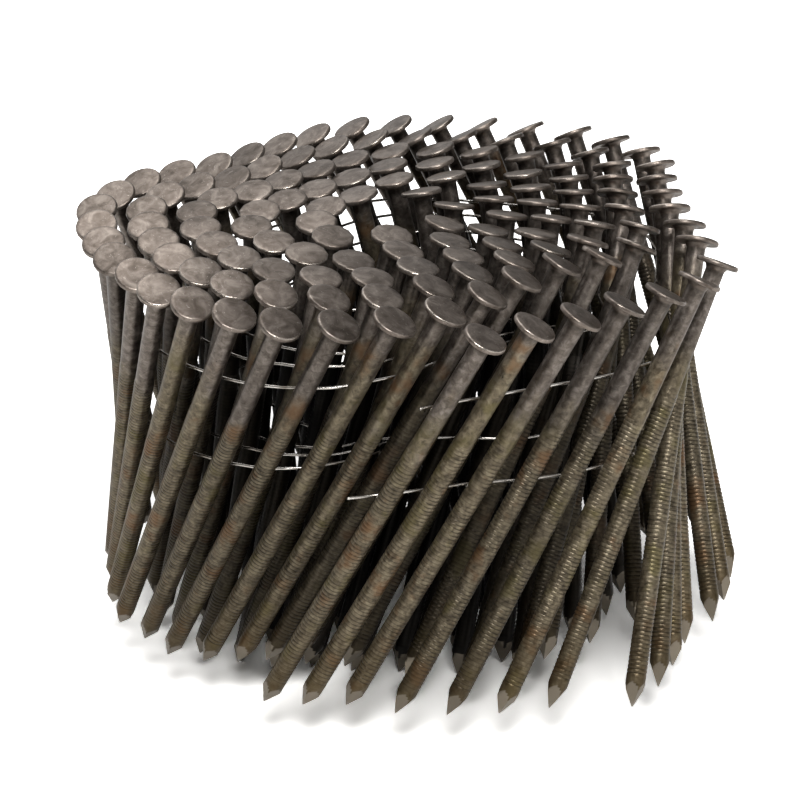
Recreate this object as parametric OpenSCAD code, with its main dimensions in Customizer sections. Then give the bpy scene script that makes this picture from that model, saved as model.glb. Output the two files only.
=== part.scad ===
// A coil of ring-shank nails for a pneumatic coil nailer. Two steel wires hold the nails side by side,
// all leaning the same way, and the strip is wound into a coil with its heads level with each other.
// The core's nails lean least, so the coil stands on their points and the outer points clear the floor.
// Millimetres, +Z up. The origin is on the coil's axis, in the plane that the core's points stand on.
// The free end of the strip is at the front (-Y); seen from above it runs anticlockwise, inwards.
// The first eight nails are the lead: each gap between them can be bent open until the lead is straight.

/* [Nail] */
// Length from the top of the head to the point
nail_length = 76; // [50:0.5:95]
// Head diameter
head_d = 7; // [5.6:0.1:8.6]
// Head thickness at its rim
head_thickness = 0.75; // [0.5:0.05:1.2]
// Diameter of the plain shank under the head
shank_d = 3.05; // [2.3:0.05:3.7]
// Diameter over the rings of the ringed shank
ring_d = 3.2; // [2.5:0.05:3.9]
// Length of the plain shank, from the top of the head
plain_length = 22; // [10:0.5:40]
// Length of the four-sided point
point_length = 4.2; // [2:0.1:7]
// Height of the fillet between head and shank
fillet_height = 1.1; // [0.4:0.1:1.8]
// Width of the fillet between head and shank
fillet_width = 0.9; // [0.3:0.1:1.2]

/* [Collation] */
// Diameter of the two wires
wire_d = 0.5; // [0.4:0.05:0.9]
// Distance of the upper wire below the head tops, along the nail
upper_wire_drop = 15.3; // [8:0.1:22]
// Distance of the lower wire below the head tops, along the nail
lower_wire_drop = 33.3; // [24:0.1:48]
// Distance from nail to nail along the strip
nail_pitch = 7.7; // [6.4:0.05:11]
// Lean of the nails in the outer turn, along the strip
nail_lean = 28.5; // [18:0.5:35]
// Lean of the nails in the core, which stand more upright
core_lean = 14; // [8:0.5:18]
// Free end of the upper wire, past the first nail's axis
upper_tail = 5; // [2:0.1:12]
// Free end of the lower wire, past the first nail's axis
lower_tail = 5.4; // [2:0.1:12]

/* [Coil] */
// Radius of the circle of heads at the free end
outer_radius = 53.7; // [36:0.1:70]
// Radius of the free space round the coil's axis, for the magazine post
hole_radius = 3; // [2:0.1:12]
// Gap between the heads of two turns
turn_gap = 0.7; // [0.5:0.05:3]
// Outward turn of the lean, in degrees, all round the coil
lean_out = 4; // [0:0.5:8]
// Extra outward turn of the lean at the front, where the free end springs open
front_flare = 15; // [0:0.5:16]
// Inward turn of the lean just past the lead, where the strip is bent
side_turn = 24; // [0:0.5:26]
// Inward turn of the lean at the back
back_tilt = 20; // [0:0.5:24]
// How far the inner turns are pushed in behind the free end
tuck_depth = 14; // [6:0.5:16]
// Uneven lean from nail to nail, in degrees
uneven_lean = 1.5; // [0:0.1:2]

/* [Hidden] */

lead_count = 8;

// World directions round the coil, in degrees, and the widths of what happens there.
first_angle = -88;
flare_angle = -95;
flare_width = 75;
back_angle = 85;
back_width = 35;
tuck_angle = -68;
tuck_width = 42;

// Winding angles, from the free end: where the push-in starts and how soon it is full, and where the
// nails start to stand more upright and over how much winding they do.
tuck_starts = 310;
tuck_grows = 70;
upright_starts = 360;
upright_grows = 720;

// Winding angles past the lead: where the lean turns inward, how soon, and how soon it is back.
side_starts = 52;
side_grows = 6;
side_ends = 85;

// The coil is wound by hand and is not quite round: [waves in a turn, height, direction].
// It gets rounder towards the middle, and is round after this much winding.
waves = [[1, 3, -103], [2, 3.5, 43], [3, 1.5, 60], [4, 1.4, -28], [5, 1.9, 25], [6, 1.2, 27]];
round_after = 1980;
inner_drift = 1;

// Least clear space between two nails of different turns: heads side by side, and shanks.
head_clearance = 0.45;
shank_clearance = 0.45;
shank_rate = 1.5;
settle_reach = 40;
settle_turn = 75;
slack = 0.6;

// Space between a wire and the nails it is welded to, and between two lead pieces of a wire.
weld_space = 0.03;
lead_wire_space = 0.3;
wire_sides = 8;

golden_angle = 137.5;
head_edge = 0.3;
round_steps = 32;
far = 1000;

turn_pitch = head_d + turn_gap;
pivot_drop = (upper_wire_drop + lower_wire_drop) / 2;
head_level = nail_length * cos(core_lean);
pivot_stop = hole_radius + ring_d / 2;

// ---- where the strip runs ----
// A winding angle counts from the free end; a pivot is the point of a nail midway between the wires.

function wrap(a) = (a + 540) % 360 - 180;
function clip(x) = min(max(x, 0), 1);
function bell(a, width) = exp(-pow(wrap(a) / width, 2));
function ease(x) = let (c = clip(x)) c * c * (3 - 2 * c);
function fade(wind) = clip(1 - wind / round_after);
function total(list) = list * [for (x = list) 1];

function lean_at(wind) = nail_lean + (core_lean - nail_lean) * ease((wind - upright_starts) / upright_grows);

function lean_turn(wind) =
    let (angle = first_angle + wind)
    (lean_out + front_flare * bell(angle - flare_angle, flare_width)
        - back_tilt * bell(angle - back_angle, back_width)
        - side_turn * ease((wind - side_starts) / side_grows) * (1 - ease((wind - side_starts) / side_ends)))
        * fade(wind);

function strip_radius(wind) =
    let (
        angle = first_angle + wind,
        heads = outer_radius - turn_pitch * wind / 360,
        aside = pivot_drop * sin(lean_at(wind)),
        even = sqrt(max(pow(heads, 2) - pow(aside * cos(lean_out), 2), 1)) - aside * sin(lean_out),
        wavy = total([for (w = waves) w[1] * cos(w[0] * (angle - w[2]))]),
        tuck = tuck_depth * bell(angle - tuck_angle, tuck_width) * ease((wind - tuck_starts) / tuck_grows)
    )
    even + (wavy - tuck) * fade(wind);

function strip_at(wind) =
    let (angle = first_angle + wind, r = strip_radius(wind))
    [r * cos(angle), r * sin(angle) + inner_drift * (1 - exp(-wind / 360))];

function strip_speed(wind) = norm(strip_at(wind + 0.5) - strip_at(wind - 0.5));

// ---- where each nail stands ----
// A place is [pivot, direction from the pivot to the head, winding angle, how far it is drawn in].

function head_of(place) = place[0] + place[1] * pivot_drop;

function place_at(i, wind, pull) =
    let (
        flat = strip_at(wind),
        kept = 1 - pull / norm(flat),
        lean = lean_at(wind),
        turn = first_angle + wind + 90 - lean_turn(wind) + uneven_lean * sin(i * golden_angle),
        level = head_level - pivot_drop * cos(lean)
    )
    [
        [flat[0] * kept, flat[1] * kept, level],
        [sin(lean) * cos(turn), sin(lean) * sin(turn), cos(lean)],
        wind,
        pull
    ];

// Distance between the middle lines of two nails, each from its head down.
function line_gap(h1, u1, h2, u2) =
    let (
        r = h1 - h2,
        b = u1 * u2,
        c = u1 * r,
        f = u2 * r,
        apart = max(1 - b * b, 0.000001),
        s0 = min(max((c - b * f) / apart, 0), nail_length),
        t0 = min(max(b * s0 - f, 0), nail_length),
        s = min(max(c + b * t0, 0), nail_length),
        t = min(max(b * s - f, 0), nail_length)
    )
    norm(r - u1 * s + u2 * t);

// How much closer to the axis a nail has to stand to clear one that is already in place.
function shortfall(h, u, other) =
    let (other_head = head_of(other), apart = norm(other_head - h))
    apart > settle_reach ? 0 :
    max(
        head_d + head_clearance - apart,
        shank_rate * (ring_d + shank_clearance - line_gap(h, u, other_head, other[1]))
    );

// Draws a nail in towards the axis until it clears the turn outside it.
function drawn(i, wind, pull, placed, steps) =
    let (
        here = place_at(i, wind, pull),
        h = head_of(here),
        lack = max([0, for (k = [max(i - settle_turn, 0):1:i - 2]) shortfall(h, here[1], placed[k])])
    )
    (lack < 0.001 || steps == 0) ? pull : drawn(i, wind, pull + lack, placed, steps - 1);

// Moves a nail along the strip until it stands one pitch from the nail before it.
function next_place(i, wind, pull, placed, tries) =
    tries == 0 ? place_at(i, wind, drawn(i, wind, pull, placed, 3)) :
    let (
        eased = drawn(i, wind, max(pull - slack, 0), placed, 2),
        ahead = place_at(i, wind, eased)[0] - placed[i - 1][0],
        missing = nail_pitch - norm([ahead[0], ahead[1]])
    )
    next_place(i, wind + missing / strip_speed(wind), eased, placed, tries - 1);

// The winding ends where the space for the magazine post begins.
function wind_on(placed) =
    let (
        i = len(placed),
        last = placed[i - 1],
        next = next_place(i, last[2] + nail_pitch / strip_speed(last[2]), last[3], placed, 4)
    )
    norm(strip_at(next[2])) - next[3] < pivot_stop || outer_radius - turn_pitch * next[2] / 360 < head_d
        ? placed
        : wind_on(concat(placed, [next]));

places = wind_on([place_at(0, 0, 0)]);
nail_count = len(places);

// ---- the nail ----

nail_profile = concat(
    [[0, 0]],
    [for (a = [90:-30:0]) [head_d / 2 - head_edge + head_edge * cos(a), -head_edge + head_edge * sin(a)]],
    [for (a = [0:30:90]) [
        head_d / 2 - head_edge / 2 + head_edge / 2 * cos(a),
        -head_thickness + head_edge / 2 - head_edge / 2 * sin(a)
    ]],
    [for (a = [0:22.5:90]) [
        shank_d / 2 + fillet_width * (1 - sin(a)),
        -head_thickness - fillet_height * (1 - cos(a))
    ]],
    [
        [shank_d / 2, -plain_length],
        [ring_d / 2, -plain_length - (ring_d - shank_d)],
        [ring_d / 2, -nail_length],
        [0, -nail_length]
    ]
);

// Two faces of the point: a slab as wide as the head that narrows to an edge at the point.
module point_slab() {
    wide = head_d;
    slope_top = wide * point_length / (ring_d / 2) - nail_length;
    rotate([90, 0, 0])
        linear_extrude(2 * wide, center = true)
            polygon([[-wide, 1], [-wide, slope_top], [0, -nail_length], [wide, slope_top], [wide, 1]]);
}

module nail() {
    intersection() {
        rotate_extrude($fn = round_steps) polygon(nail_profile);
        point_slab();
        rotate([0, 0, 90]) point_slab();
    }
}

module placed_nail(i) {
    u = places[i][1];
    translate(head_of(places[i]))
        rotate([0, acos(u[2]), atan2(u[1], u[0])])
            nail();
}

module turn_nails(from_turn, to_turn) {
    for (i = [lead_count:1:nail_count - 1])
        if (places[i][2] >= from_turn * 360 && places[i][2] < to_turn * 360) placed_nail(i);
}

// ---- the wires ----

// A wire touches each nail on the side that faces the coil's axis.
function wire_point(i, drop) =
    let (
        u = places[i][1],
        strip = places[min(i + 1, nail_count - 1)][0] - places[max(i - 1, 0)][0],
        inward = cross(u, strip),
        nail_r = (drop < plain_length ? shank_d : ring_d) / 2
    )
    head_of(places[i]) - u * drop + inward / norm(inward) * (nail_r + wire_d / 2 + weld_space);

function toward(a, b, distance) = a + (b - a) / norm(b - a) * distance;

// The point midway to the next nail, a given distance short of it (or past it).
function midway(i, drop, past) =
    let (a = wire_point(i, drop), b = wire_point(i + 1, drop))
    toward((a + b) / 2, b, past);

function lead_path(i, drop, tail) = [
    i == 0 ? toward(wire_point(0, drop), wire_point(1, drop), -tail) : midway(i - 1, drop, lead_wire_space / 2),
    wire_point(i, drop),
    midway(i, drop, -lead_wire_space / 2)
];

function coil_path(drop) = concat(
    [midway(lead_count - 1, drop, lead_wire_space / 2)],
    [for (i = [lead_count:1:nail_count - 1]) wire_point(i, drop)]
);

// A round wire along a path: at each corner its section lies in the mitre plane.
module wire(path) {
    last = len(path) - 1;
    r = wire_d / 2;
    legs = [for (k = [0:1:last - 1]) (path[k + 1] - path[k]) / norm(path[k + 1] - path[k])];
    rings = [
        for (k = [0:1:last])
            let (
                before = legs[max(k - 1, 0)],
                after = legs[min(k, last - 1)],
                mean = before + after,
                ahead = mean / norm(mean),
                side = cross(ahead, [0, 0, 1]),
                across = side / norm(side),
                up = cross(across, ahead),
                stretch = 1 / sqrt((1 + before * after) / 2)
            )
            for (s = [0:1:wire_sides - 1])
                let (a = 360 * (s + 0.5) / wire_sides)
                path[k] + across * (r * stretch * cos(a)) + up * (r * sin(a))
    ];
    walls = [
        for (k = [0:1:last - 1], s = [0:1:wire_sides - 1])
            let (
                t = (s + 1) % wire_sides,
                a = k * wire_sides + s,
                b = k * wire_sides + t,
                c = a + wire_sides,
                d = b + wire_sides
            )
            for (face = [[a, c, b], [b, c, d]]) face
    ];
    ends = [
        [for (s = [0:1:wire_sides - 1]) s],
        [for (s = [wire_sides - 1:-1:0]) last * wire_sides + s]
    ];
    polyhedron(rings, concat(walls, ends), convexity = 10);
}

// ---- the pieces ----

nail_colors = ["slategray", "lightslategray"];
wire_colors = ["gold", "khaki"];

module lead_nail(n) { color(nail_colors[n % 2]) placed_nail(n - 1); }
module lead_upper_wire(n) { color(wire_colors[n % 2]) wire(lead_path(n - 1, upper_wire_drop, upper_tail)); }
module lead_lower_wire(n) { color(wire_colors[n % 2]) wire(lead_path(n - 1, lower_wire_drop, lower_tail)); }

module outer_turn_nails() { color("rosybrown") turn_nails(0, 1); }
module second_turn_nails() { color("darkkhaki") turn_nails(1, 2); }
module third_turn_nails() { color("cadetblue") turn_nails(2, 3); }
module core_nails() { color("mediumpurple") turn_nails(3, far); }
module upper_coil_wire() { color("orange") wire(coil_path(upper_wire_drop)); }
module lower_coil_wire() { color("tomato") wire(coil_path(lower_wire_drop)); }

for (n = [1:1:lead_count]) {
    lead_nail(n);
    lead_upper_wire(n);
    lead_lower_wire(n);
}
outer_turn_nails();
second_turn_nails();
third_turn_nails();
core_nails();
upper_coil_wire();
lower_coil_wire();
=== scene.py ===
import math

import bpy
import numpy as np
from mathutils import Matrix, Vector


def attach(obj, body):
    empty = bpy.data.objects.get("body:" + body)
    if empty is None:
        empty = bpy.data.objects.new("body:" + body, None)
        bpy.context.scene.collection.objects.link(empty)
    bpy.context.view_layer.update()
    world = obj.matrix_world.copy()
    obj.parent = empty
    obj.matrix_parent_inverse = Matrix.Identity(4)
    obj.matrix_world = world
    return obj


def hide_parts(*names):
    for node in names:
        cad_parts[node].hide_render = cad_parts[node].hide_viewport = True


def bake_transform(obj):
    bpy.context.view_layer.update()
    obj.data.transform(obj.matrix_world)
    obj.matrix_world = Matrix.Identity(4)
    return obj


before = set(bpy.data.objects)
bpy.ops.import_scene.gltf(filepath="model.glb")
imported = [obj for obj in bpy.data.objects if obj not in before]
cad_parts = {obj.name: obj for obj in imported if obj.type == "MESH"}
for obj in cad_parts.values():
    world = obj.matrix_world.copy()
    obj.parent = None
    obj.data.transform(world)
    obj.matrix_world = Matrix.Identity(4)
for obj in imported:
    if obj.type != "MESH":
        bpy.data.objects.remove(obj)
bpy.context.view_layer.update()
millimetre = 0.001
print("frame loaded")


# Length 1 for each row.
def unit(rows):
    return rows / np.linalg.norm(rows, axis=-1, keepdims=True)


# sRGB hex to linear red, green, blue and alpha.
def linear(colour):
    shown = np.array([int(colour[k:k + 2], 16) for k in (1, 3, 5)]) / 255
    low = shown <= 0.04045
    return (*np.where(low, shown / 12.92, ((shown + 0.055) / 1.055) ** 2.4), 1.0)


# A mesh object from points and faces given as whole arrays. Attributes are one vector per point.
def meshPiece(name, points, faceArrays, material, attributes=None):
    mesh = bpy.data.meshes.new(name)
    sizes = np.concatenate([np.full(len(f), f.shape[1]) for f in faceArrays])
    corners = np.concatenate([f.ravel() for f in faceArrays])
    mesh.vertices.add(len(points))
    mesh.vertices.foreach_set("co", points.astype(np.float32).ravel())
    mesh.loops.add(len(corners))
    mesh.loops.foreach_set("vertex_index", corners.astype(np.int32))
    mesh.polygons.add(len(sizes))
    mesh.polygons.foreach_set("loop_start", (np.cumsum(sizes) - sizes).astype(np.int32))
    mesh.polygons.foreach_set("loop_total", sizes.astype(np.int32))
    for key, values in (attributes or {}).items():
        layer = mesh.attributes.new(key, "FLOAT_VECTOR", "POINT")
        layer.data.foreach_set("vector", values.astype(np.float32).ravel())
    mesh.update(calc_edges=True)
    mesh.validate()
    mesh.shade_smooth()
    mesh.materials.append(material)
    piece = bpy.data.objects.new(name, mesh)
    bpy.context.scene.collection.objects.link(piece)
    return piece


# Faces of a closed skin made of rows of points round an axis, with one point at each end: the points
# are row after row, then the first end, then the last end. Rows run so that the faces look outwards.
def skinFaces(rowCount, sides):
    k = np.arange(sides)
    beside = (k + 1) % sides
    start = np.arange(rowCount - 1)[:, None] * sides
    walls = np.stack([start + k, start + beside, start + sides + beside, start + sides + k], -1)
    firstEnd = np.full(sides, rowCount * sides)
    lastRow = (rowCount - 1) * sides
    caps = np.concatenate([
        np.stack([firstEnd, beside, k], -1),
        np.stack([firstEnd + 1, lastRow + k, lastRow + beside], -1),
    ])
    return walls.reshape(-1, 4), caps


# Adds a node with its settings and links. A link is the socket to fill and the socket it comes from, and
# stops are the places and colours of a colour ramp.
def addNode(tree, kind, settings=None, values=None, links=None, stops=None):
    node = tree.nodes.new(kind)
    for key, value in (settings or {}).items():
        setattr(node, key, value)
    for key, value in (values or {}).items():
        node.inputs[key].default_value = value
    for key, source in (links or {}).items():
        tree.links.new(source, node.inputs[key])
    for k, (at, colour) in enumerate(stops or []):
        if k >= len(node.color_ramp.elements):
            node.color_ramp.elements.new(at)
        node.color_ramp.elements[k].position = at
        node.color_ramp.elements[k].color = linear(colour)
    return node


# A new material, its node tree and its shader.
def newMaterial(name):
    material = bpy.data.materials.new(name)
    material.use_nodes = True
    return material, material.node_tree, material.node_tree.nodes["Principled BSDF"]


# A node's points with equal ones merged, and its triangles on those points.
def mergedMesh(node):
    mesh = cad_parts[node].data
    mesh.calc_loop_triangles()
    points = np.empty(len(mesh.vertices) * 3, np.float32)
    mesh.vertices.foreach_get("co", points)
    triangles = np.empty(len(mesh.loop_triangles) * 3, np.int32)
    mesh.loop_triangles.foreach_get("vertices", triangles)
    merged, same = np.unique(points.reshape(-1, 3).astype(float).round(6), axis=0, return_inverse=True)
    return merged, same.reshape(-1)[triangles].reshape(-1, 3)


# One number for each separate solid: every point takes the lowest number in its triangles, again and
# again, until none changes.
def solidNumbers(points, triangles):
    numbers = np.arange(len(points))
    while True:
        lower = numbers.copy()
        for corner in range(3):
            np.minimum.at(lower, triangles[:, corner], numbers[triangles].min(1))
        if (lower == numbers).all():
            return numbers
        numbers = lower


# The head's middle and the tip of every nail of a node. The tip is the point furthest from the middle
# of the nail, and the rim of the head's flat top is what lies furthest from the tip.
def nailsOf(node):
    points, triangles = mergedMesh(node)
    numbers = solidNumbers(points, triangles)
    found = []
    for number in np.unique(numbers):
        nail = points[numbers == number]
        tip = nail[np.linalg.norm(nail - nail.mean(0), axis=1).argmax()]
        reach = np.linalg.norm(nail - tip, axis=1)
        found.append((nail[reach > reach.max() - rimReach].mean(0), tip))
    return np.array(found)


# How far each point is from each nail's middle line.
def offLine(points, nails):
    axes = unit(nails[:, 1] - nails[:, 0])
    return np.linalg.norm(np.cross(points[:, None] - nails[None, :, 0], axes[None]), axis=-1)


# The number of the nail that each point of a wire is welded to, or -1 between two welds.
def weldedTo(points, nails):
    away = offLine(points, nails)
    return np.where(away.min(1) < weldReach, away.argmin(1), -1)


leadCount = sum(name.startswith("lead_nail_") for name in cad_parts)
turnNodes = ["outer_turn_nails", "second_turn_nails", "third_turn_nails", "core_nails"]
wireRows = ["upper", "lower"]
rimReach = 0.003 * millimetre  # a nail's points this near to the furthest from its tip are its head's rim
weldReach = 2.5 * millimetre  # a wire's points nearer than this to a nail's line are the ring at its weld
tailReach = 4.3 * millimetre  # and those further than this from the first nail's line are the free end

leadNails = np.concatenate([nailsOf(f"lead_nail_{k + 1}") for k in range(leadCount)])
turnNails = [nailsOf(node) for node in turnNodes]
coilNails = np.concatenate(turnNails)
coilTurn = np.repeat(np.arange(len(turnNodes)), [len(nails) for nails in turnNails])

# The wire's own triangles join each weld's ring of points to the next, which gives the nails' order.
wirePoints, wireTriangles = mergedMesh("upper_coil_wire")
joined = weldedTo(wirePoints, coilNails)[wireTriangles][:, [0, 1, 1, 2, 2, 0]].reshape(-1, 2)
joined = joined[(joined >= 0).all(1) & (joined[:, 0] != joined[:, 1])]
order = [np.linalg.norm(coilNails[:, 0] - leadNails[-1, 0], axis=1).argmin()]
while True:
    ahead = [k for k in np.unique(joined[joined[:, 0] == order[-1], 1]) if k not in order]
    if not ahead:
        break
    order.append(ahead[0])
coilNails, coilTurn = coilNails[order], coilTurn[order]


# The middle of each wire at each nail: the middle of the ring of points at the weld.
def weldPoints(node, nails):
    points = mergedMesh(node)[0]
    nail = weldedTo(points, nails)
    return np.array([points[nail == k].mean(0) for k in range(len(nails))])


leadWelds, coilWelds, tailEnds = {}, {}, {}
for row in wireRows:
    leadWelds[row] = np.concatenate([
        weldPoints(f"lead_{row}_wire_{k + 1}", leadNails[k:k + 1]) for k in range(leadCount)
    ])
    coilWelds[row] = weldPoints(f"{row}_coil_wire", coilNails)
    firstWire = mergedMesh(f"lead_{row}_wire_1")[0]
    tailEnds[row] = firstWire[offLine(firstWire, leadNails[:1])[:, 0] > tailReach].mean(0)
print(f"{leadCount} lead nails and {len(coilNails)} coil nails found")


ringedNail = {
    "headRadius": 3.5 * millimetre,
    "headEdge": 0.3 * millimetre,
    "headThickness": 0.75 * millimetre,
    "headDome": 0.16 * millimetre,
    "headDent": 0.06 * millimetre,
    "headOval": 0.014,
    "headRows": (0.3, 0.6, 0.8),  # where the rows across the head's top lie, as shares of its radius
    "filletHeight": 1.1 * millimetre,
    "filletWidth": 0.9 * millimetre,
    "shankRadius": 1.525 * millimetre,
    "shankRows": 7,
    "gripStart": 4.4 * millimetre,
    "gripPitch": 0.6 * millimetre,
    "gripMarks": 11,
    "gripDepth": 0.035 * millimetre,
    "gripShade": 0.3,  # how much painted shade a grip mark has, where a ring's groove has 1
    "crestRadius": 1.6 * millimetre,
    "ringsStart": 22 * millimetre,
    "ringPitch": 0.68 * millimetre,
    "ringDepth": 0.11 * millimetre,
    "ringsFade": 3.5 * millimetre,  # over which the first rings reach their full depth
    "firstDepth": 0.9,  # how much of that depth the very first has, before chance takes some of it
    "firstSkew": 0.5,  # how much more of it one side of the nail has, and the other less
    "ringsOnFaces": 0.25,  # how far the rings run on to the point's faces, as a share of their length
    "facetLength": 4.2 * millimetre,
    "cutEdge": 0.06 * millimetre,  # how deep the point's faces cut before they are fully bare
    "bluntTip": 0.09 * millimetre,
    "pointRows": 14,
    "sharpAngle": 48,
    "wear": 0.74,  # of the rings and of the polish with its painted glint, on average
    "wearSwing": 0.26,  # how far that goes up and down
    "wearWaves": (31, 13),  # the turns of its two waves over the nail's length, in radians
    "topPolishGlint": 0.3,
    "rimPolishGlint": 1,
    "gripPolishGlint": 0.5,
    "crestPolishGlint": 0.12,
    "firstCrests": 0.5,  # polish and painted glint that the first rings' crests have as well
    "firstCrestsFade": 9 * millimetre,  # over which it is lost
}
# How finely each turn is made: sides round the nail, where in its pitch each row of a ring lies, the most
# nails in one piece, and how much painted shade its shanks get, for the shade deeper in the coil.
turnDetail = [
    {"sides": 24, "ringRows": (0, 0.22, 0.7), "most": 11, "paintedCoilShade": 0},
    {"sides": 16, "ringRows": (0, 0.22, 0.7), "most": 16, "paintedCoilShade": 0.6},
    {"sides": 16, "ringRows": (0, 0.35), "most": 26, "paintedCoilShade": 0.9},
    {"sides": 12, "ringRows": (0, 0.35), "most": 34, "paintedCoilShade": 1},
]


# The nail's outline from the head's top down: distance along the nail, radius, 1 in a ring's groove, which
# takes painted shade, 1 in a grip mark, and how polished it is, which also sets a painted glint. The corners
# between the point's four faces reach up the shank by the square root of 2 times the faces' length.
def nailOutline(length, ringRows):
    n = ringedNail
    rim, edge, under = n["headRadius"], n["headEdge"], n["headThickness"]
    arc = np.radians([0, 30, 60, 90])
    top = [(0, r * rim) for r in n["headRows"]]
    upperEdge = [(edge * (1 - math.cos(a)), rim - edge + edge * math.sin(a)) for a in arc]
    lowerEdge = [(under - edge / 2 * (1 - math.sin(a)), rim - edge / 2 * (1 - math.cos(a))) for a in arc]
    high, wide = n["filletHeight"], n["filletWidth"]
    fillet = [
        (under + high * (1 - math.cos(a)), n["shankRadius"] + wide * (1 - math.sin(a)))
        for a in np.radians([0, 25, 50, 70, 90])
    ]
    head = top + upperEdge + lowerEdge + fillet
    gripRows = n["gripStart"] + n["gripPitch"] / 2 * np.arange(2 * n["gripMarks"])
    smooth = np.linspace(gripRows[-1] + n["gripPitch"], n["ringsStart"], n["shankRows"])
    corners = length - math.sqrt(2) * n["facetLength"]
    ringCount = int((corners + n["facetLength"] * n["ringsOnFaces"] - n["ringsStart"]) / n["ringPitch"])
    ringPlaces = (np.arange(ringCount)[:, None] + 0.5 + np.array(ringRows)) * n["ringPitch"] + n["ringsStart"]
    point = np.linspace(ringPlaces.max() + n["ringPitch"] / 2, length, n["pointRows"])
    plain = [(s, n["shankRadius"]) for s in np.concatenate([gripRows, smooth])]
    rings = [(s, n["crestRadius"]) for s in ringPlaces.ravel()]
    rows = np.array(head + plain + rings + [(s, n["crestRadius"]) for s in point])
    grip, groove, polishAndGlint = np.zeros((3, len(rows)))
    grip[len(head):len(head) + len(gripRows):2] = 1
    ringStart = len(head) + len(plain)
    ringEnd = ringStart + len(rings)
    groove[ringStart:ringEnd:len(ringRows)] = 1
    polishAndGlint[:len(top) + 1] = n["topPolishGlint"]
    polishAndGlint[len(top) + 1:len(top) + 3] = n["rimPolishGlint"]
    polishAndGlint[len(head):len(head) + len(gripRows)] = n["gripPolishGlint"]
    down = rows[ringStart:ringEnd, 0] - n["ringsStart"]
    polishAndGlint[ringStart:ringEnd] = n["crestPolishGlint"] + n["firstCrests"] * np.exp(-down / n["firstCrestsFade"])
    return rows[:, 0], rows[:, 1], groove, grip, polishAndGlint


# Nails as one mesh. A point of a nail is head + axis * s + across * r, where s and r follow the outline
# and across turns once round the nail. The rings start at no fixed place and their depth comes and goes,
# the grips mark two opposite sides, the head is a little oval, domed and dented, and four flat faces cut the
# point: r is at most w / max(|cos|, |sin|), where w is each face's distance from the axis. The grooves and
# grip marks carry painted shade, the polished places a painted glint, and the inner a nail's turn, the
# darker the painted shade on its shank.
def ringedNails(name, nails, detail, material, chance):
    n = ringedNail
    length = np.linalg.norm(nails[0, 1] - nails[0, 0])
    sides, count = detail["sides"], len(nails)
    roll, phase, tone, late = chance.random((4, count, 1, 1))
    roll, phase = roll * math.tau, phase * math.tau
    s, r, groove, grip, polishAndGlint = (x[None, :, None] for x in nailOutline(length, detail["ringRows"]))
    turn = (math.pi / 4 + np.arange(sides) * math.tau / sides)[None, None]
    share = s / length
    fast, slow = n["wearWaves"]
    rise = n["wearSwing"] * np.sin(share * fast + phase)
    wear = n["wear"] + rise * np.cos(share * slow - 2 * phase + turn)
    uneven = n["firstDepth"] - late + n["firstSkew"] * np.cos(turn + 2 * phase)
    begun = np.clip((s - n["ringsStart"]) / n["ringsFade"] + uneven, 0, 1)
    groove = groove * wear * begun
    radius = r - groove * n["ringDepth"]
    pressed = grip * np.cos(turn + phase) ** 4
    radius = radius - pressed * n["gripDepth"]
    inHead = s <= n["headThickness"]
    radius = np.where(inHead, radius * (1 + n["headOval"] * np.cos(2 * turn + phase)), radius)
    face = n["crestRadius"] * (length - s) / n["facetLength"] + n["bluntTip"]
    cut = face / np.maximum(abs(np.cos(turn)), abs(np.sin(turn)))
    bare = np.clip((radius - cut) / n["cutEdge"], 0, 1)
    radius = np.minimum(cut, radius)
    out = r / n["headRadius"]
    lift = n["headDent"] * (np.cos(turn - 3 * phase) * out + np.cos(2 * turn + phase) * out**2)
    lift = lift + n["headDome"] * out**2
    depth, radius = np.broadcast_arrays(s + np.where(inHead, lift, 0), radius)
    axes = unit(nails[:, 1] - nails[:, 0])[:, None, None]
    side = unit(np.cross(axes, [0.0, 0.0, 1.0]))
    across = side * np.cos(turn + roll)[..., None] + np.cross(axes, side) * np.sin(turn + roll)[..., None]
    points = nails[:, 0][:, None, None] + axes * depth[..., None] + across * radius[..., None]
    points = np.concatenate([points.reshape(count, -1, 3), nails], axis=1)
    attributes = {}
    for key, parts in {
        "nailPlace": (share, np.where(bare > 0, -bare, groove + n["gripShade"] * pressed), tone),
        "nailWearGlintShade": (polishAndGlint * (1 - pressed) * wear**2, late, detail["paintedCoilShade"]),
    }.items():
        rows = np.stack(np.broadcast_arrays(*parts, radius)[:3], -1).reshape(count, -1, 3)
        ends = rows[:, [0, -1]]
        ends[:, 0, 0] = 0  # the head's middle is neither down the nail nor polished with a painted glint
        attributes[key] = np.concatenate([rows, ends], axis=1).reshape(-1, 3)
    walls, caps = skinFaces(r.shape[1], sides)
    shift = (np.arange(count) * points.shape[1])[:, None, None]
    faces = [(walls + shift).reshape(-1, 4), (caps + shift).reshape(-1, 3)]
    piece = meshPiece(name, points.reshape(-1, 3), faces, material, attributes)
    piece.data.set_sharp_from_angle(angle=math.radians(n["sharpAngle"]))
    return piece


brightWire = {
    "radius": 0.25 * millimetre,
    "sides": 10,
    "legSteps": (0, 0.06, 0.14, 0.3, 0.5, 0.7, 0.86, 0.94),
    "stiffness": 0.22,  # how much of each leg turns to meet the next
    "sway": 0.1 * millimetre,
    "snippedEnd": 0.8,  # how thick the ends are, as a share of the wire
    "beadLength": 0.62 * millimetre,
    "beadHeight": 0.34 * millimetre,
    "beadLean": 0.6,  # how far a bead's middle lies towards the nail, as a share of its height
    "beadSwell": (0.8, 1.25),  # the smallest and the largest bead, as shares of those sizes
    "beadSides": 8,
    "beadRows": 5,
}


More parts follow.
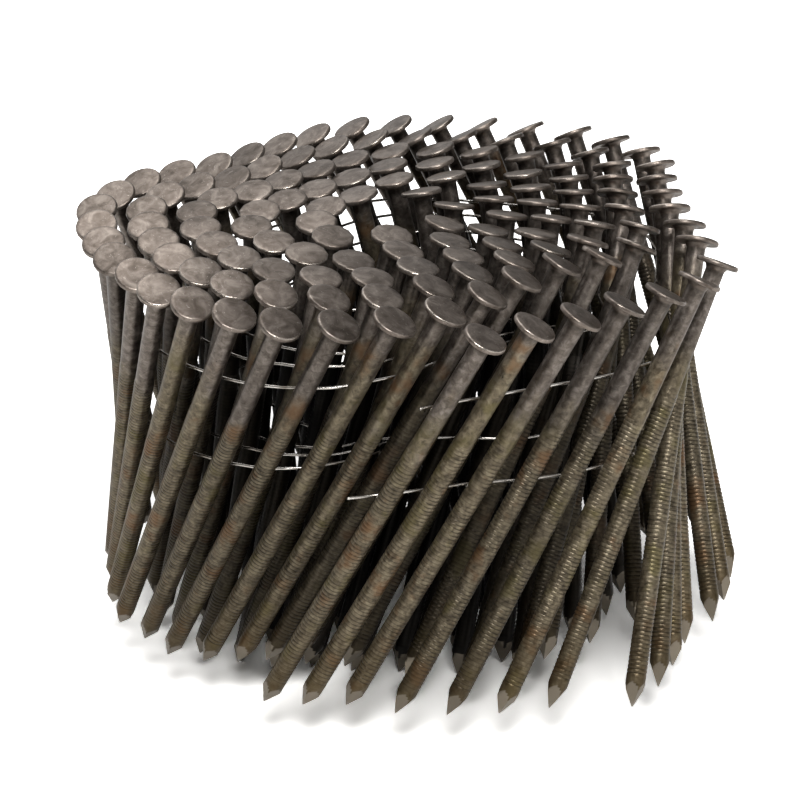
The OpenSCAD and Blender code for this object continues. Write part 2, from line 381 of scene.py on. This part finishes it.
# A wire's middle line through its welds: between two welds it follows the cubic that leaves each one in
# the mean direction of its two legs, with a slight sway that is nothing at the welds.
def wireLine(welds, chance):
    w = brightWire
    legs = np.diff(welds, axis=0)
    legUnits = unit(legs)
    ahead = unit(np.concatenate([legUnits[:1], legUnits[:-1] + legUnits[1:], legUnits[-1:]]))
    size = w["stiffness"] * np.linalg.norm(legs, axis=1)[:, None, None]
    t = np.array(w["legSteps"])[None, :, None]
    start, end = welds[:-1, None], welds[1:, None]
    line = (
        start * (2 * t**3 - 3 * t**2 + 1) + end * (3 * t**2 - 2 * t**3)
        + ahead[:-1, None] * size * (t**3 - 2 * t**2 + t) + ahead[1:, None] * size * (t**3 - t**2)
    )
    line += chance.normal(0, w["sway"], (len(legs), 1, 3)) * np.sin(math.pi * t) ** 2
    return np.concatenate([line.reshape(-1, 3), welds[-1:]])


# A round wire: at each point of its line a circle across the line's direction. The ends are a little
# smaller, as a snipped wire's are.
def wireTube(name, line, material):
    w = brightWire
    ahead = unit(np.gradient(line, axis=0))
    side = unit(np.cross(ahead, [0.0, 0.0, 1.0]))
    up = np.cross(side, ahead)
    turn = (np.arange(w["sides"]) * math.tau / w["sides"])[None, :, None]
    radius = np.full((len(line), 1, 1), w["radius"])
    radius[[0, -1]] *= w["snippedEnd"]
    rings = line[:, None] + radius * (up[:, None] * np.cos(turn) + side[:, None] * np.sin(turn))
    points = np.concatenate([rings.reshape(-1, 3), line[:1], line[-1:]])
    return meshPiece(name, points, skinFaces(len(line), w["sides"]), material)


# Spot-weld beads: each is an egg that lies along the wire and leans on the nail, its radius from end to
# end being the square root of 1 - t * t.
def weldBeads(name, welds, ahead, nails, material, chance):
    w = brightWire
    axes = unit(nails[:, 1] - nails[:, 0])
    foot = nails[:, 0] + axes * np.sum((welds - nails[:, 0]) * axes, axis=1, keepdims=True)
    toNail = unit(foot - welds)
    along = unit(ahead - toNail * np.sum(ahead * toNail, axis=1, keepdims=True))
    third = np.cross(along, toNail)
    t = np.cos(np.linspace(math.pi, 0, w["beadRows"] + 2)[1:-1])[None, :, None, None]
    turn = (np.arange(w["beadSides"]) * math.tau / w["beadSides"])[None, None, :, None]
    swell = chance.uniform(*w["beadSwell"], (len(welds), 1, 1, 1))
    middle = (welds + toNail * w["beadHeight"] * w["beadLean"])[:, None, None]
    reach = swell * w["beadHeight"] * np.sqrt(1 - t * t)
    rows = (
        middle + along[:, None, None] * w["beadLength"] * swell * t
        + reach * (toNail[:, None, None] * np.cos(turn) - third[:, None, None] * np.sin(turn))
    )
    ends = middle[:, 0] + along[:, None] * w["beadLength"] * swell[:, 0] * np.array([-1, 1])[None, :, None]
    points = np.concatenate([rows.reshape(len(welds), -1, 3), ends], axis=1)
    walls, caps = skinFaces(w["beadRows"], w["beadSides"])
    shift = (np.arange(len(welds)) * points.shape[1])[:, None, None]
    faces = [(walls + shift).reshape(-1, 4), (caps + shift).reshape(-1, 3)]
    return meshPiece(name, points.reshape(-1, 3), faces, material)


# Low-carbon steel, drawn, headed and ring-rolled, with a thin film of drawing soap and oil left on it.
# It gives a dull grey-brown metal: scuffed mauve-grey heads and plain shanks with a broad sheen, browner
# rings with painted shade in their grooves and under the head, polished rims and ring crests with painted
# glints, painted shade on the shanks deep in the coil, and pale cut faces at the point.
def drawnNailSteel():
    shade = {
        "headDark": "#5a5149", "head": "#776d65", "headPale": "#968c83", "scuff": "#cfc6be",
        "plainDark": "#4a423c", "plain": "#6b635c", "plainPale": "#938a83",
        "ringDark": "#3c352a", "ring": "#6a604f", "ringPale": "#968b74",
        "olive": "#635b37", "rust": "#735438", "low": "#493b22",
        "paintedShade": "#17120b", "paintedCoilShade": "#0c0906", "polishedGlint": "#bdb4aa", "cut": "#867d6f", "tip": "#a39d94",
    }
    # Stains, smears from handling, rolling marks, and the die's grain, which is drawn three times as coarse
    # as the real one so that it shows.
    patch, smear, mottle, grain = (size * millimetre for size in (7, 2.6, 1.1, 0.16))
    headEnd, paintedCoilShadeStart, plainEnd, lowStart = 0.0245, 0.06, 0.3, 0.7  # shares of the nail's length
    staining, starting = 0.34, 0.26  # and how far stains and chance move the grey's end
    ownPattern = 37.0  # how far apart the nails' patterns lie at most, in the noise's fourth dimension

    material, tree, shader = newMaterial("drawn and ring-rolled nail steel")
    where = addNode(tree, "ShaderNodeTexCoord").outputs["Object"]
    place = addNode(tree, "ShaderNodeAttribute", {"attribute_name": "nailPlace"}).outputs["Vector"]
    along, groove, tone = addNode(tree, "ShaderNodeSeparateXYZ", links={"Vector": place}).outputs
    wearGlintShade = addNode(tree, "ShaderNodeAttribute", {"attribute_name": "nailWearGlintShade"}).outputs["Vector"]
    polishAndGlint, late, paintedCoilShade = addNode(tree, "ShaderNodeSeparateXYZ", links={"Vector": wearGlintShade}).outputs
    apart = addNode(tree, "ShaderNodeMath", {"operation": "MULTIPLY"}, {1: ownPattern}, {0: tone}).outputs[0]
    # How large each pattern is, how finely detailed, and how far it is pulled out of shape.
    noise = {}
    for key, size, detail, warp in (
        ("patch", patch, 3.0, 0.0), ("smear", smear, 3.0, 1.0), ("mottle", mottle, 5.0, 0.6),
        ("scuff", 0.9 * mottle, 6.0, 2.4), ("grain", grain, 3.0, 0.0),
    ):
        noise[key] = addNode(tree, "ShaderNodeTexNoise", {"noise_dimensions": "4D"}, {
            "Scale": 1 / size, "Detail": detail, "Roughness": 0.62, "Distortion": warp,
        }, {"Vector": where, "W": apart}).outputs["Fac"]
    tones = {}
    for key, drive, stops in (
        ("head", "smear", [(0.32, shade["headDark"]), (0.5, shade["head"]), (0.7, shade["headPale"])]),
        ("plain", "mottle", [(0.3, shade["plainDark"]), (0.5, shade["plain"]), (0.72, shade["plainPale"])]),
        ("ring", "mottle", [(0.3, shade["ringDark"]), (0.5, shade["ring"]), (0.74, shade["ringPale"])]),
    ):
        ramp = addNode(tree, "ShaderNodeValToRGB", links={"Fac": noise[drive]}, stops=stops)
        tones[key] = ramp.outputs["Color"]

    # The plain shank's grey runs out unevenly into the brown of the rings, and on a few nails, because chance
    # is squared, the brown starts close under the head.
    sway = addNode(tree, "ShaderNodeMath", {"operation": "MULTIPLY_ADD"}, {1: staining}, {
        0: noise["patch"], 2: along,
    })
    early = addNode(tree, "ShaderNodeMath", {"operation": "POWER"}, {1: 2.0}, {0: late})
    uneven = addNode(tree, "ShaderNodeMath", {"operation": "MULTIPLY_ADD"}, {1: starting}, {
        0: early.outputs[0], 2: sway.outputs[0],
    }).outputs[0]
    middle = plainEnd + staining / 2
    grey, brown = middle - 0.05, middle + 0.07

    # Layers over the ring colour, from the bottom up: what drives each, from where to where, how much of it
    # shows, its colour, and what else holds it back.
    onHead = addNode(tree, "ShaderNodeMath", {"operation": "LESS_THAN"}, {1: headEnd / 2}, {
        0: along,
    }).outputs[0]
    colour = tones["ring"]
    for source, low, high, most, over, only in (
        (noise["patch"], 0.53, 0.68, 0.7, shade["rust"], None),
        (noise["patch"], 0.48, 0.34, 0.6, shade["olive"], None),
        (along, lowStart, 1.0, 0.72, shade["low"], None),
        (uneven, brown, grey, 1.0, tones["plain"], None),
        # painted shade on the shanks, darker the inner a nail's turn
        (along, paintedCoilShadeStart, paintedCoilShadeStart + 0.2, 1.0, shade["paintedCoilShade"], paintedCoilShade),
        # painted shade on the shank just under the head's overhang
        (along, headEnd + 0.02, headEnd, 0.4, shade["paintedShade"], None),
        (along, headEnd, headEnd - 0.006, 1.0, tones["head"], None),
        (noise["scuff"], 0.6, 0.68, 0.45, shade["scuff"], onHead),
        # real polish, paler, which also paints a glint on head tops, rims, grip marks and crests
        (polishAndGlint, 0.3, 1.0, 0.6, shade["polishedGlint"], None),
        # painted shade in the ring grooves and the grip marks
        (groove, 0.05, 0.9, 0.6, shade["paintedShade"], None),
        (groove, -0.1, -0.6, 0.85, shade["cut"], None),
        (along, 0.985, 1.0, 0.7, shade["tip"], None),
    ):
        factor = addNode(tree, "ShaderNodeMapRange", {"interpolation_type": "SMOOTHSTEP"}, {
            "From Min": low, "From Max": high, "To Max": most,
        }, {"Value": source}).outputs[0]
        if only is not None:
            factor = addNode(tree, "ShaderNodeMath", {"operation": "MULTIPLY"}, None, {
                0: factor, 1: only,
            }).outputs[0]
        painted = isinstance(over, str)
        colour = addNode(
            tree, "ShaderNodeMix", {"data_type": "RGBA"}, {7: linear(over)} if painted else None,
            {0: factor, 6: colour} | ({} if painted else {7: over}),
        ).outputs[2]
    # Some nails are a little darker or lighter as a whole.
    tint = addNode(tree, "ShaderNodeMapRange", None, {"To Min": 0.76, "To Max": 1.16}, {"Value": tone})
    colour = addNode(tree, "ShaderNodeVectorMath", {"operation": "SCALE"}, None, {
        0: colour, "Scale": tint.outputs[0],
    })
    tree.links.new(colour.outputs[0], shader.inputs["Base Color"])

    # The pale patches are the dullest, polish smooths what it reaches, and the brown film hides some metal.
    dull = addNode(tree, "ShaderNodeMapRange", None, {
        "From Min": 0.3, "From Max": 0.7, "To Min": 0.32, "To Max": 0.5,
    }, {"Value": noise["mottle"]})
    rough = addNode(tree, "ShaderNodeMath", {"operation": "MULTIPLY_ADD"}, {1: -0.17}, {
        0: polishAndGlint, 2: dull.outputs[0],
    })
    tree.links.new(rough.outputs[0], shader.inputs["Roughness"])
    bare = addNode(tree, "ShaderNodeMapRange", None, {
        "From Min": grey, "From Max": brown, "To Min": 0.85, "To Max": 0.6,
    }, {"Value": uneven})
    tree.links.new(bare.outputs[0], shader.inputs["Metallic"])
    # Handling dents about a tenth of a millimetre deep, with the much shallower grain on them.
    dents = addNode(tree, "ShaderNodeBump", None, {"Strength": 0.32, "Distance": 0.12 * millimetre}, {
        "Height": noise["scuff"],
    })
    bump = addNode(tree, "ShaderNodeBump", None, {"Strength": 0.35, "Distance": 0.03 * millimetre}, {
        "Height": noise["grain"], "Normal": dents.outputs["Normal"],
    })
    tree.links.new(bump.outputs["Normal"], shader.inputs["Normal"])
    shader.inputs["Specular IOR Level"].default_value = 0.3  # the film is duller than a clean varnish
    return material


# Bright-drawn steel wire: smooth along its length, so it shows one sharp silver line of light, with faint
# stains a few millimetres long.
def brightDrawnWire():
    material, tree, shader = newMaterial("bright drawn steel wire")
    stainSize = 3 * millimetre
    where = addNode(tree, "ShaderNodeTexCoord").outputs["Object"]
    stain = addNode(tree, "ShaderNodeTexNoise", None, {"Scale": 1 / stainSize, "Detail": 4.0}, {
        "Vector": where,
    })
    stops = [(0.35, "#8d867d"), (0.6, "#d6d2cc")]
    colour = addNode(tree, "ShaderNodeValToRGB", links={"Fac": stain.outputs["Fac"]}, stops=stops)
    tree.links.new(colour.outputs["Color"], shader.inputs["Base Color"])
    shader.inputs["Metallic"].default_value = 1.0
    shader.inputs["Roughness"].default_value = 0.24
    return material


# Steel melted by a spot weld and cooled in air: a rougher bead, darkened in patches by the heat.
def weldSteel():
    material, tree, shader = newMaterial("heat-tinted weld steel")
    patchSize = 0.6 * millimetre
    where = addNode(tree, "ShaderNodeTexCoord").outputs["Object"]
    tint = addNode(tree, "ShaderNodeTexNoise", None, {"Scale": 1 / patchSize, "Detail": 3.0}, {
        "Vector": where,
    })
    stops = [(0.35, "#3f3a34"), (0.65, "#857f77")]
    colour = addNode(tree, "ShaderNodeValToRGB", links={"Fac": tint.outputs["Fac"]}, stops=stops)
    tree.links.new(colour.outputs["Color"], shader.inputs["Base Color"])
    shader.inputs["Metallic"].default_value = 0.9
    shader.inputs["Roughness"].default_value = 0.42
    return material


nailSteel, wireSteel, beadSteel = drawnNailSteel(), brightDrawnWire(), weldSteel()
print("materials made")


seed = 61  # every nail's turn, stains and wear, the wires' sway and the beads' sizes come from it
chance = np.random.default_rng(seed)

for k in range(leadCount):
    nail = ringedNails(f"ringed_lead_nail_{k + 1}", leadNails[k:k + 1], turnDetail[0], nailSteel, chance)
    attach(nail, f"lead_{k + 1}")
    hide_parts(f"lead_nail_{k + 1}")
print("lead nails made")

for turn, node in enumerate(turnNodes):
    detail = turnDetail[turn]
    nails = coilNails[coilTurn == turn]
    arcs = np.array_split(nails, math.ceil(len(nails) / detail["most"]))
    for k, arc in enumerate(arcs):
        name = f"ringed_{node}" if len(arcs) == 1 else f"ringed_{node}_{k + 1}"
        piece = ringedNails(name, arc, detail, nailSteel, chance)
        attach(piece, "coil")
        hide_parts(node)
    print(f"{node} made")

for row in wireRows:
    welds = np.concatenate([tailEnds[row][None], leadWelds[row], coilWelds[row]])
    line = wireLine(welds, chance)
    steps = len(brightWire["legSteps"])
    ahead = unit(np.gradient(line, axis=0))[::steps][1:]
    tail = wireTube(f"{row}_wire_free_end", line[:steps + 1], wireSteel)
    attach(tail, "lead_1")
    # Each length of lead wire is baked where it lies and is attached to no nail.
    for k in range(leadCount):
        first = (k + 1) * steps
        piece = wireTube(f"{row}_lead_wire_{k + 1}", line[first:first + steps + 1], wireSteel)
        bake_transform(piece)
        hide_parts(f"lead_{row}_wire_{k + 1}")
        bead = weldBeads(
            f"{row}_weld_bead_{k + 1}", leadWelds[row][k:k + 1], ahead[k:k + 1], leadNails[k:k + 1],
            beadSteel, chance,
        )
        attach(bead, f"lead_{k + 1}")
    piece = wireTube(f"{row}_bright_coil_wire", line[(leadCount + 1) * steps:], wireSteel)
    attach(piece, "coil")
    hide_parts(f"{row}_coil_wire")
    beads = weldBeads(
        f"{row}_coil_weld_beads", coilWelds[row], ahead[leadCount:], coilNails, beadSteel, chance,
    )
    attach(beads, "coil")
    print(f"{row} wire made")


stage = {
    "floorSize": 6.0,
    "paper": "#b4b3b1",
    "paperSeen": 4.2,  # how much whiter the paper shows to camera and mirror rays
    "paperMirrored": 0.5,  # how much of that metal shows, so that the paper isn't brighter than white in it
    "paperClear": (0.1, 0.3),  # from where to where it turns to plain white, away from the coil
    "paperLeast": 0.42,  # how white it stays in the deepest shadow beside the coil
    "paperCovered": (0.03, 0.065),  # from where to where that begins, because under the coil it is dark
    "skyLight": 0.08,  # what the room throws on the object
    "skyDark": 0.16,  # what metal mirrors of the room
    "skyBright": 1.0,  # and of the white sheet behind and above the coil
    "sheetAt": (-0.45, 0.6, 0.66),  # the direction of that sheet
    "sheetEdge": (0.55, 0.95),  # from where to where it brightens: the cosine of the angle off its middle
    "aimHeight": 40 * millimetre,  # the camera looks at the coil's axis, this far above the points
    "distance": 541 * millimetre,
    "lookDown": 22.7,
    "lens": 144,
    "sensor": 36,
    "lamps": {
        "key softbox": {"at": (0.06, -0.66, 0.88), "size": 0.4, "watts": 9.5},
        "fill softbox": {"at": (0.7, -0.6, 0.35), "size": 0.6, "watts": 1.2},
        "top softbox": {"at": (-0.15, 0.25, 0.93), "size": 0.5, "watts": 2.2},
    },
}


# Matt white paper. To camera and mirror rays it is whiter than it is to the light that it throws on the
# object, so it shows white where the lamps reach it and keeps the coil's shadow, and far away it is plain
# white. For those rays it also glows: not at all under the coil, which leaves painted shade there, partly
# beside it, as painted light that lifts the shadow, and fully far away.
def paperFloor():
    material, tree, shader = newMaterial("matt white paper")
    shader.inputs["Base Color"].default_value = linear(stage["paper"])
    shader.inputs["Roughness"].default_value = 0.9
    rays = addNode(tree, "ShaderNodeLightPath").outputs
    seen = addNode(tree, "ShaderNodeMath", {"operation": "MAXIMUM"}, None, {
        0: rays["Is Camera Ray"], 1: rays["Is Glossy Ray"],
    })
    level = addNode(tree, "ShaderNodeMapRange", None, {"To Min": 1.0, "To Max": stage["paperMirrored"]}, {
        "Value": rays["Is Glossy Ray"],
    }).outputs[0]
    scale = addNode(tree, "ShaderNodeMath", {"operation": "MULTIPLY"}, {1: stage["paperSeen"]}, {0: level})
    white = addNode(tree, "ShaderNodeVectorMath", {"operation": "SCALE"}, {0: linear(stage["paper"])[:3]}, {
        "Scale": scale.outputs[0],
    })
    lit = addNode(tree, "ShaderNodeBsdfDiffuse", links={"Color": white.outputs[0]})
    spot = addNode(tree, "ShaderNodeTexCoord").outputs["Object"]
    away = addNode(tree, "ShaderNodeVectorMath", {"operation": "LENGTH"}, None, {0: spot})
    clear = addNode(tree, "ShaderNodeMapRange", {"interpolation_type": "SMOOTHSTEP"}, {
        "From Min": stage["paperClear"][0], "From Max": stage["paperClear"][1], "To Min": stage["paperLeast"],
    }, {"Value": away.outputs["Value"]})
    beside = addNode(tree, "ShaderNodeMapRange", {"interpolation_type": "SMOOTHSTEP"}, {
        "From Min": stage["paperCovered"][0], "From Max": stage["paperCovered"][1],
    }, {"Value": away.outputs["Value"]})
    lifted = addNode(tree, "ShaderNodeMath", {"operation": "MULTIPLY"}, None, {
        0: clear.outputs[0], 1: beside.outputs[0],
    })
    glow = addNode(tree, "ShaderNodeMath", {"operation": "MULTIPLY"}, None, {0: lifted.outputs[0], 1: level})
    own = addNode(tree, "ShaderNodeEmission", links={"Strength": glow.outputs[0]})
    sheet = addNode(tree, "ShaderNodeAddShader", None, None, {0: lit.outputs[0], 1: own.outputs[0]})
    shown = addNode(tree, "ShaderNodeMixShader", None, None, {
        0: seen.outputs[0], 1: shader.outputs[0], 2: sheet.outputs[0],
    })
    tree.links.new(shown.outputs[0], tree.nodes["Material Output"].inputs["Surface"])
    return material


half = stage["floorSize"] / 2
floor = meshPiece(
    "floor", np.array([[-half, -half, 0], [half, -half, 0], [half, half, 0], [-half, half, 0]]),
    [np.array([[0, 1, 2, 3]])], paperFloor(),
)

# The room is white to the camera. Metal mirrors a white sheet that hangs behind and above the coil, and a
# dim room elsewhere.
world = bpy.data.worlds.new("white studio")
bpy.context.scene.world = world
world.use_nodes = True
room = world.node_tree
rays = addNode(room, "ShaderNodeLightPath").outputs
direction = addNode(room, "ShaderNodeTexCoord").outputs["Generated"]
behind = addNode(room, "ShaderNodeVectorMath", {"operation": "DOT_PRODUCT"}, {1: stage["sheetAt"]}, {
    0: direction,
})
mirrored = addNode(room, "ShaderNodeMapRange", {"interpolation_type": "SMOOTHSTEP"}, {
    "From Min": stage["sheetEdge"][0], "From Max": stage["sheetEdge"][1],
    "To Min": stage["skyDark"], "To Max": stage["skyBright"],
}, {"Value": behind.outputs["Value"]})
isMirror = addNode(room, "ShaderNodeMath", {"operation": "MAXIMUM"}, None, {
    0: rays["Is Glossy Ray"], 1: rays["Is Transmission Ray"],
})
thrown = addNode(room, "ShaderNodeMix", {"data_type": "FLOAT"}, {2: stage["skyLight"]}, {
    0: isMirror.outputs[0], 3: mirrored.outputs[0],
})
strength = addNode(room, "ShaderNodeMath", {"operation": "MAXIMUM"}, None, {
    0: rays["Is Camera Ray"], 1: thrown.outputs[0],
})
backdrop = room.nodes["Background"]
backdrop.inputs["Color"].default_value = (1, 1, 1, 1)
room.links.new(strength.outputs[0], backdrop.inputs["Strength"])

# Square soft lights that face what the camera looks at.
aim = Vector((0, 0, stage["aimHeight"]))
for name, lamp in stage["lamps"].items():
    light = bpy.data.objects.new(name, bpy.data.lights.new(name, "AREA"))
    light.data.size = lamp["size"]
    light.data.energy = lamp["watts"]
    light.location = lamp["at"]
    light.rotation_euler = (aim - Vector(lamp["at"])).to_track_quat("-Z", "Y").to_euler()
    bpy.context.scene.collection.objects.link(light)

lookDown = math.radians(stage["lookDown"])
camera = bpy.data.objects.new("camera", bpy.data.cameras.new("camera"))
camera.data.lens = stage["lens"]
camera.data.sensor_width = stage["sensor"]
camera.location = (
    0, -stage["distance"] * math.cos(lookDown), stage["aimHeight"] + stage["distance"] * math.sin(lookDown),
)
camera.rotation_euler = (math.pi / 2 - lookDown, 0, 0)
bpy.context.scene.collection.objects.link(camera)
bpy.context.scene.camera = camera
bpy.context.scene.view_settings.view_transform = "Standard"
print("stage set")
